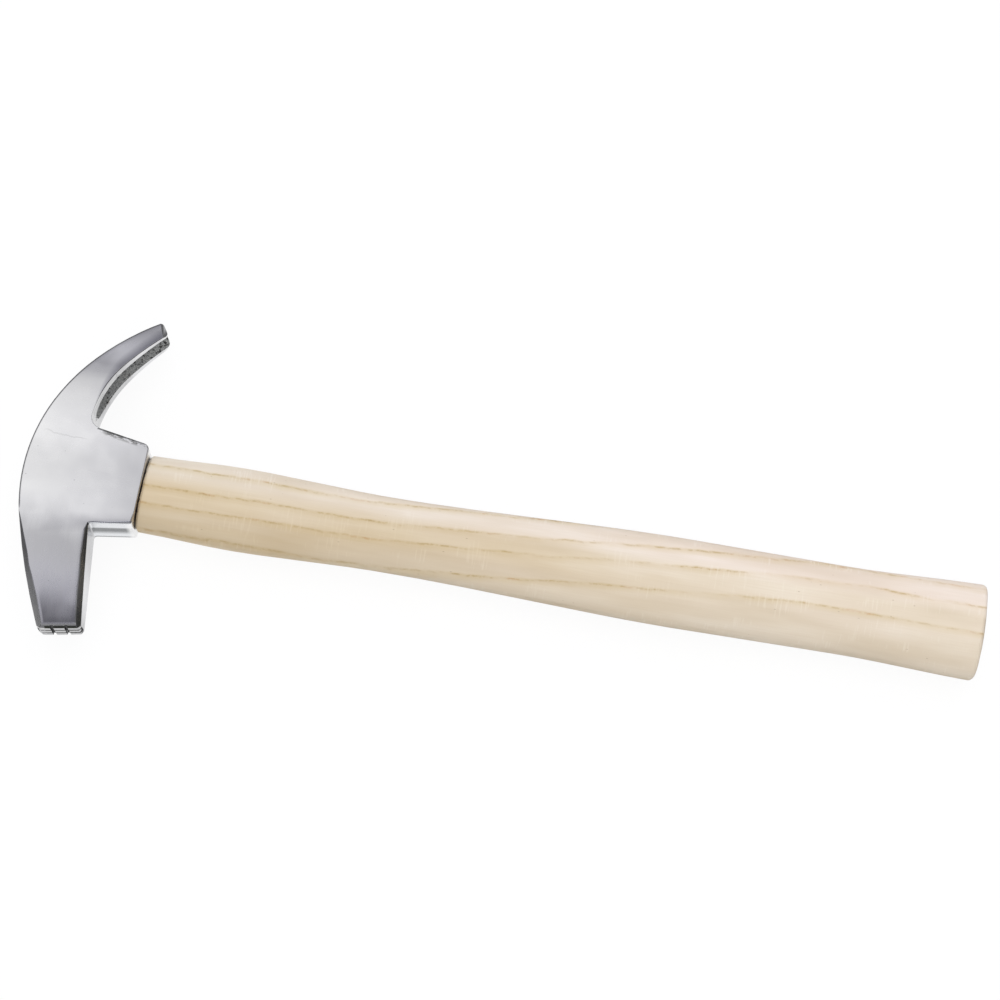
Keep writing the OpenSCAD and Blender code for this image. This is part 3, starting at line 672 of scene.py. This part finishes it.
ASH = ((0.3, (0.70, 0.595, 0.45)), (0.5, (0.765, 0.665, 0.525)), (0.7, (0.82, 0.735, 0.61)))
GRAIN = (0.67, 0.555, 0.40, 1)
SOFT_LINE = (0.62, 0.48, 0.23, 1)
LINE, REDDISH_LINE = (0.49, 0.35, 0.15, 1), (0.56, 0.29, 0.13, 1)
wood = ramp(tree, noise(tree, in_mm, (0.02, 0.11, 0.11)), ASH)
grain = use_group(tree, streaks, {"Vector": in_mm, "Stretch": (0.045, 2.2, 2.2), "Contrast": 1.8})
wood = laid_over(tree, wood, grain, 0.3, GRAIN)
wood = laid_over(tree, wood, soft_line, 0.5, SOFT_LINE)
reddish = remap(tree, noise(tree, in_mm, (0.09, 0.2, 0.2), 1.0), 0.55, 0.68)
wood = blend(tree, line, wood, blend(tree, reddish, LINE, REDDISH_LINE))

# Medullary rays: groups of short pale ticks across the grain. Pores are short dark specks.
PALE_TICK = (0.86, 0.79, 0.67, 1)
PORE = (0.35, 0.24, 0.13, 1)
ticks = product(tree, remap(tree, noise(tree, in_mm, (1.3, 0.12, 0.12), 1.0), 0.56, 0.66),
                remap(tree, noise(tree, in_mm, (0.06, 0.16, 0.16), 1.0), 0.52, 0.62))
wood = laid_over(tree, wood, ticks, 0.25, PALE_TICK)
pores = use_group(tree, specks, {"Vector": scaled(tree, in_mm, (0.35, 1, 1)), "Per mm": 0.8,
                                 "Size": 0.10, "Share": 0.10})
wood = laid_over(tree, wood, pores, 0.5, PORE)

# Yellower heartwood runs along the middle and below it, thins out along the lower side and
# ends past the middle of the handle. The sapwood above it is paler, most of all at the butt.
HEARTWOOD = (0.865, 0.805, 0.675, 1)
PLAIN_WOOD = (1.05, 1.05, 1.05, 1)
SAPWOOD_AT_HEAD, SAPWOOD_AT_BUTT = (1.04, 1.07, 1.13, 1), (1.13, 1.13, 1.24, 1)
sapwood = blend(tree, remap(tree, x_mm, 20.0, 250.0), SAPWOOD_AT_HEAD, SAPWOOD_AT_BUTT)
patch = remap(tree, noise(tree, in_mm, (0.02, 0.08, 0.08), 1.0), 0.35, 0.55, 0.75, 1.0)
lower_side = remap(tree, y_mm, -3.0, -10.0, smooth=True)
below_sapwood = product(tree, remap(tree, y_mm, 8.0, 2.0, smooth=True), patch)
below_sapwood = largest(tree, below_sapwood, lower_side)
heart = remap(tree, x_mm, 100.0, 258.0, 1.0, 0.0, smooth=True)
thin_heart = maths(tree, "MINIMUM", heart, remap(tree, x_mm, 70.0, 115.0, 1.0, 0.35))
tint = blend(tree, between(tree, lower_side, heart, thin_heart), PLAIN_WOOD, HEARTWOOD)
tint = blend(tree, below_sapwood, sapwood, tint)
wood = blend(tree, 1.0, wood, tint, "MULTIPLY")

# End grain of the butt and of the tongue is darker
END_GRAIN = (0.36, 0.25, 0.15, 1)
BUTT_X = 312.6
butt_end = remap(tree, x_mm, BUTT_X - 0.6, BUTT_X + 0.4)
tongue_end = remap(tree, x_mm, 20.6, 20.0)
wood = laid_over(tree, wood, largest(tree, butt_end, tongue_end), 0.6, END_GRAIN)

# Painted shade in the gap behind the head, where the shoulder follows the leaning rear face
GAP_SHADE = (0.045, 0.028, 0.018, 1)
ragged = total(tree, from_line(tree, in_mm, 1.0, -BOSS_LEAN), wander(tree, 1.2, in_mm, 0.9, 3.0, 0.7))
wood = laid_over(tree, wood, remap(tree, ragged, 20.75, 20.6), 0.95, GAP_SHADE)
GRAIN_DEPTH = 0.1 * MM
feed(tree, bsdf, {"Base Color": wood, "Roughness": remap(tree, grain, 0.0, 1.0, 0.42, 0.55),
                  "Normal": bumped(tree, maths(tree, "SUBTRACT", grain, line), GRAIN_DEPTH, 0.35)})
wear(ash_handle, ash)

# WOODEN WEDGE
# A hardwood wedge driven along the eye into the saw kerf, cut off level with the tongue,
# so that its sawn end grain shows at the crown.

DARK_HARDWOOD, HARDWOOD = (0.30, 0.19, 0.10, 1), (0.52, 0.36, 0.21, 1)
HARDWOOD_PORE = (0.16, 0.09, 0.05, 1)
wedge_wood, tree, bsdf, in_mm = new_material("wedge_wood")
grain = use_group(tree, streaks, {"Vector": in_mm, "Stretch": (0.3, 1.6, 1.6), "Contrast": 2.2})
wood = blend(tree, grain, DARK_HARDWOOD, HARDWOOD)
pores = use_group(tree, specks, {"Vector": in_mm, "Per mm": 2.2, "Size": 0.2, "Share": 0.5})
wood = laid_over(tree, wood, pores, 0.6, HARDWOOD_PORE)
feed(tree, bsdf, {"Base Color": wood, "Roughness": 0.7, "Normal": bumped(tree, grain, GRAIN_DEPTH, 0.5)})
wear(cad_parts["wooden_wedge"], wedge_wood)

# STEEL WEDGES
# Two wedges of dark rolled steel driven across the wooden one. Their heads are ground off
# level with the wood, and the rest keeps its mill scale.

DARK_MILL_SCALE, MILL_SCALE = (0.22, 0.22, 0.24, 1), (0.42, 0.42, 0.44, 1)
RUST = (0.22, 0.13, 0.08, 1)
ROLLING_DEPTH = 0.1 * MM
wedge_steel, tree, bsdf, in_mm = new_material("wedge_steel")
marks = use_group(tree, streaks, {"Vector": in_mm, "Stretch": (0.4, 3.0, 0.4), "Contrast": 1.8})
rust = remap(tree, noise(tree, in_mm, 0.7, 3.0), 0.55, 0.68)
tone = blend(tree, marks, DARK_MILL_SCALE, MILL_SCALE)
tone = laid_over(tree, tone, rust, 0.5, RUST)
feed(tree, bsdf, {"Base Color": tone, "Metallic": remap(tree, rust, 0.0, 1.0, 1.0, 0.4),
                  "Roughness": remap(tree, marks, 0.0, 1.0, 0.32, 0.5),
                  "Normal": bumped(tree, marks, ROLLING_DEPTH, 0.4)})
for name in ("steel_wedge_claw_side", "steel_wedge_poll_side"):
    wear(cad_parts[name], wedge_steel)

# CAMERA
# Looks down on the upper cheek from a height of about 1.15 m, a little from the side of the
# striking face. The long lens keeps the perspective slight.

camera_place = Vector((0.14554, -0.22115, 1.1474))
camera_right = Vector((0.98654, 0.16070, 0.03029)).normalized()
camera_up = Vector((-0.16349, 0.96512, 0.20448)).normalized()
camera_back = camera_right.cross(camera_up).normalized()
camera_up = camera_back.cross(camera_right)
lens = bpy.data.cameras.new("camera")
lens.lens = 121.4
lens.sensor_width = 36
lens.clip_end = 20
camera = bpy.data.objects.new("camera", lens)
turned = Matrix((camera_right, camera_up, camera_back)).transposed().to_4x4()
camera.matrix_world = Matrix.Translation(camera_place) @ turned
scene.collection.objects.link(camera)
scene.camera = camera

# FLOOR
# White table, which the photograph shows as plain white. What is mirrored in the steel
# comes mostly from the part near the head.

bpy.ops.object.select_all(action="DESELECT")
bpy.ops.mesh.primitive_plane_add(size=8, location=(0, 0, 0))
floor = bpy.context.object
floor.name = "floor"
white = bpy.data.materials.new("white_floor")
white.use_nodes = True
tree = white.node_tree
paint = tree.nodes["Principled BSDF"]
feed(tree, paint, {"Base Color": (0.9, 0.9, 0.9, 1), "Roughness": 1, "Specular IOR Level": 0})
path = tree.nodes.new("ShaderNodeLightPath").outputs
spot = scaled(tree, tree.nodes.new("ShaderNodeTexCoord").outputs["Object"], (1, 0.6, 0))
from_head = node(tree, "ShaderNodeVectorMath", {0: spot}, operation="LENGTH").outputs["Value"]
near_head = remap(tree, from_head, 0.04, 0.13, 1.0, 0.05, smooth=True)
seen = largest(tree, path["Is Camera Ray"], path["Is Glossy Ray"])
shine = largest(tree, product(tree, path["Is Camera Ray"], 1.02),
                product(tree, path["Is Glossy Ray"], near_head))
glow = node(tree, "ShaderNodeEmission", {"Strength": shine})
lit = node(tree, "ShaderNodeMixShader",
           {0: product(tree, seen, 0.9), 1: paint.outputs[0], 2: glow.outputs[0]})
feed(tree, tree.nodes["Material Output"], {"Surface": lit.outputs[0]})
floor.data.materials.append(white)

# LIGHT
# A studio with a bright diffuser overhead, towards the claw, that fades to dimmer walls,
# and three soft lamps that light the wood without showing in the steel.

# Brightness by the angle from straight up, in degrees, which grows towards the claw
SKY = (
    (-90, (0.13, 0.13, 0.135)),
    (-60, (0.11, 0.11, 0.12)),
    (-34, (0.13, 0.13, 0.15)),
    (-20, (0.22, 0.215, 0.26)),
    (-6, (0.56, 0.555, 0.61)),
    (6, (1.16, 1.155, 1.17)),
    (20, (1.28, 1.28, 1.28)),
    (29, (0.70, 0.70, 0.75)),
    (42, (0.46, 0.455, 0.50)),
    (62, (0.55, 0.55, 0.58)),
    (90, (0.34, 0.34, 0.36)),
)
DARK = (0.0, 0.0, 0.0, 1)
LIT_WALL = (0.40, 0.40, 0.42, 1)
WHITE = (1.0, 1.0, 1.0, 1)
world = bpy.data.worlds.new("studio")
world.use_nodes = True
tree = world.node_tree
x_out, y_out, z_out = node(tree, "ShaderNodeSeparateXYZ",
                           {0: tree.nodes.new("ShaderNodeTexCoord").outputs["Generated"]}).outputs
along = remap(tree, maths(tree, "ARCTAN2", y_out, z_out), -math.pi / 2, math.pi / 2)
glow = ramp(tree, along, [((angle + 90) / 180, colour) for angle, colour in SKY])
ahead = remap(tree, maths(tree, "ABSOLUTE", x_out), 0.3, 0.8, 1.0, 0.15, smooth=True)
dimmed = blend(tree, ahead, DARK, glow)

# Half way up, the walls are lit all round, so that steel isn't black from the side
on_wall = product(tree, remap(tree, z_out, 0.12, 0.40, smooth=True),
                  remap(tree, z_out, 0.72, 0.58, smooth=True))
surround = blend(tree, on_wall, dimmed, LIT_WALL)
seen_directly = tree.nodes.new("ShaderNodeLightPath").outputs["Is Camera Ray"]
feed(tree, tree.nodes["Background"], {"Color": blend(tree, seen_directly, surround, WHITE)})
scene.world = world

LAMPS = (
    ("fill_overhead", 0.99, (-0.05, 0.02, 1.0)),
    ("fill_poll_side", 0.84, (0.0, -0.85, 0.5)),
    ("fill_claw_side", 0.82, (0.0, 0.85, 0.5)),
)
for name, energy, from_direction in LAMPS:
    fill = bpy.data.lights.new(name, "SUN")
    fill.energy = energy
    fill.angle = math.radians(60)
    holder = bpy.data.objects.new(name, fill)
    holder.rotation_euler = Vector(from_direction).to_track_quat("Z", "Y").to_euler()
    holder.visible_glossy = False
    scene.collection.objects.link(holder)

scene.view_settings.view_transform = "Standard"
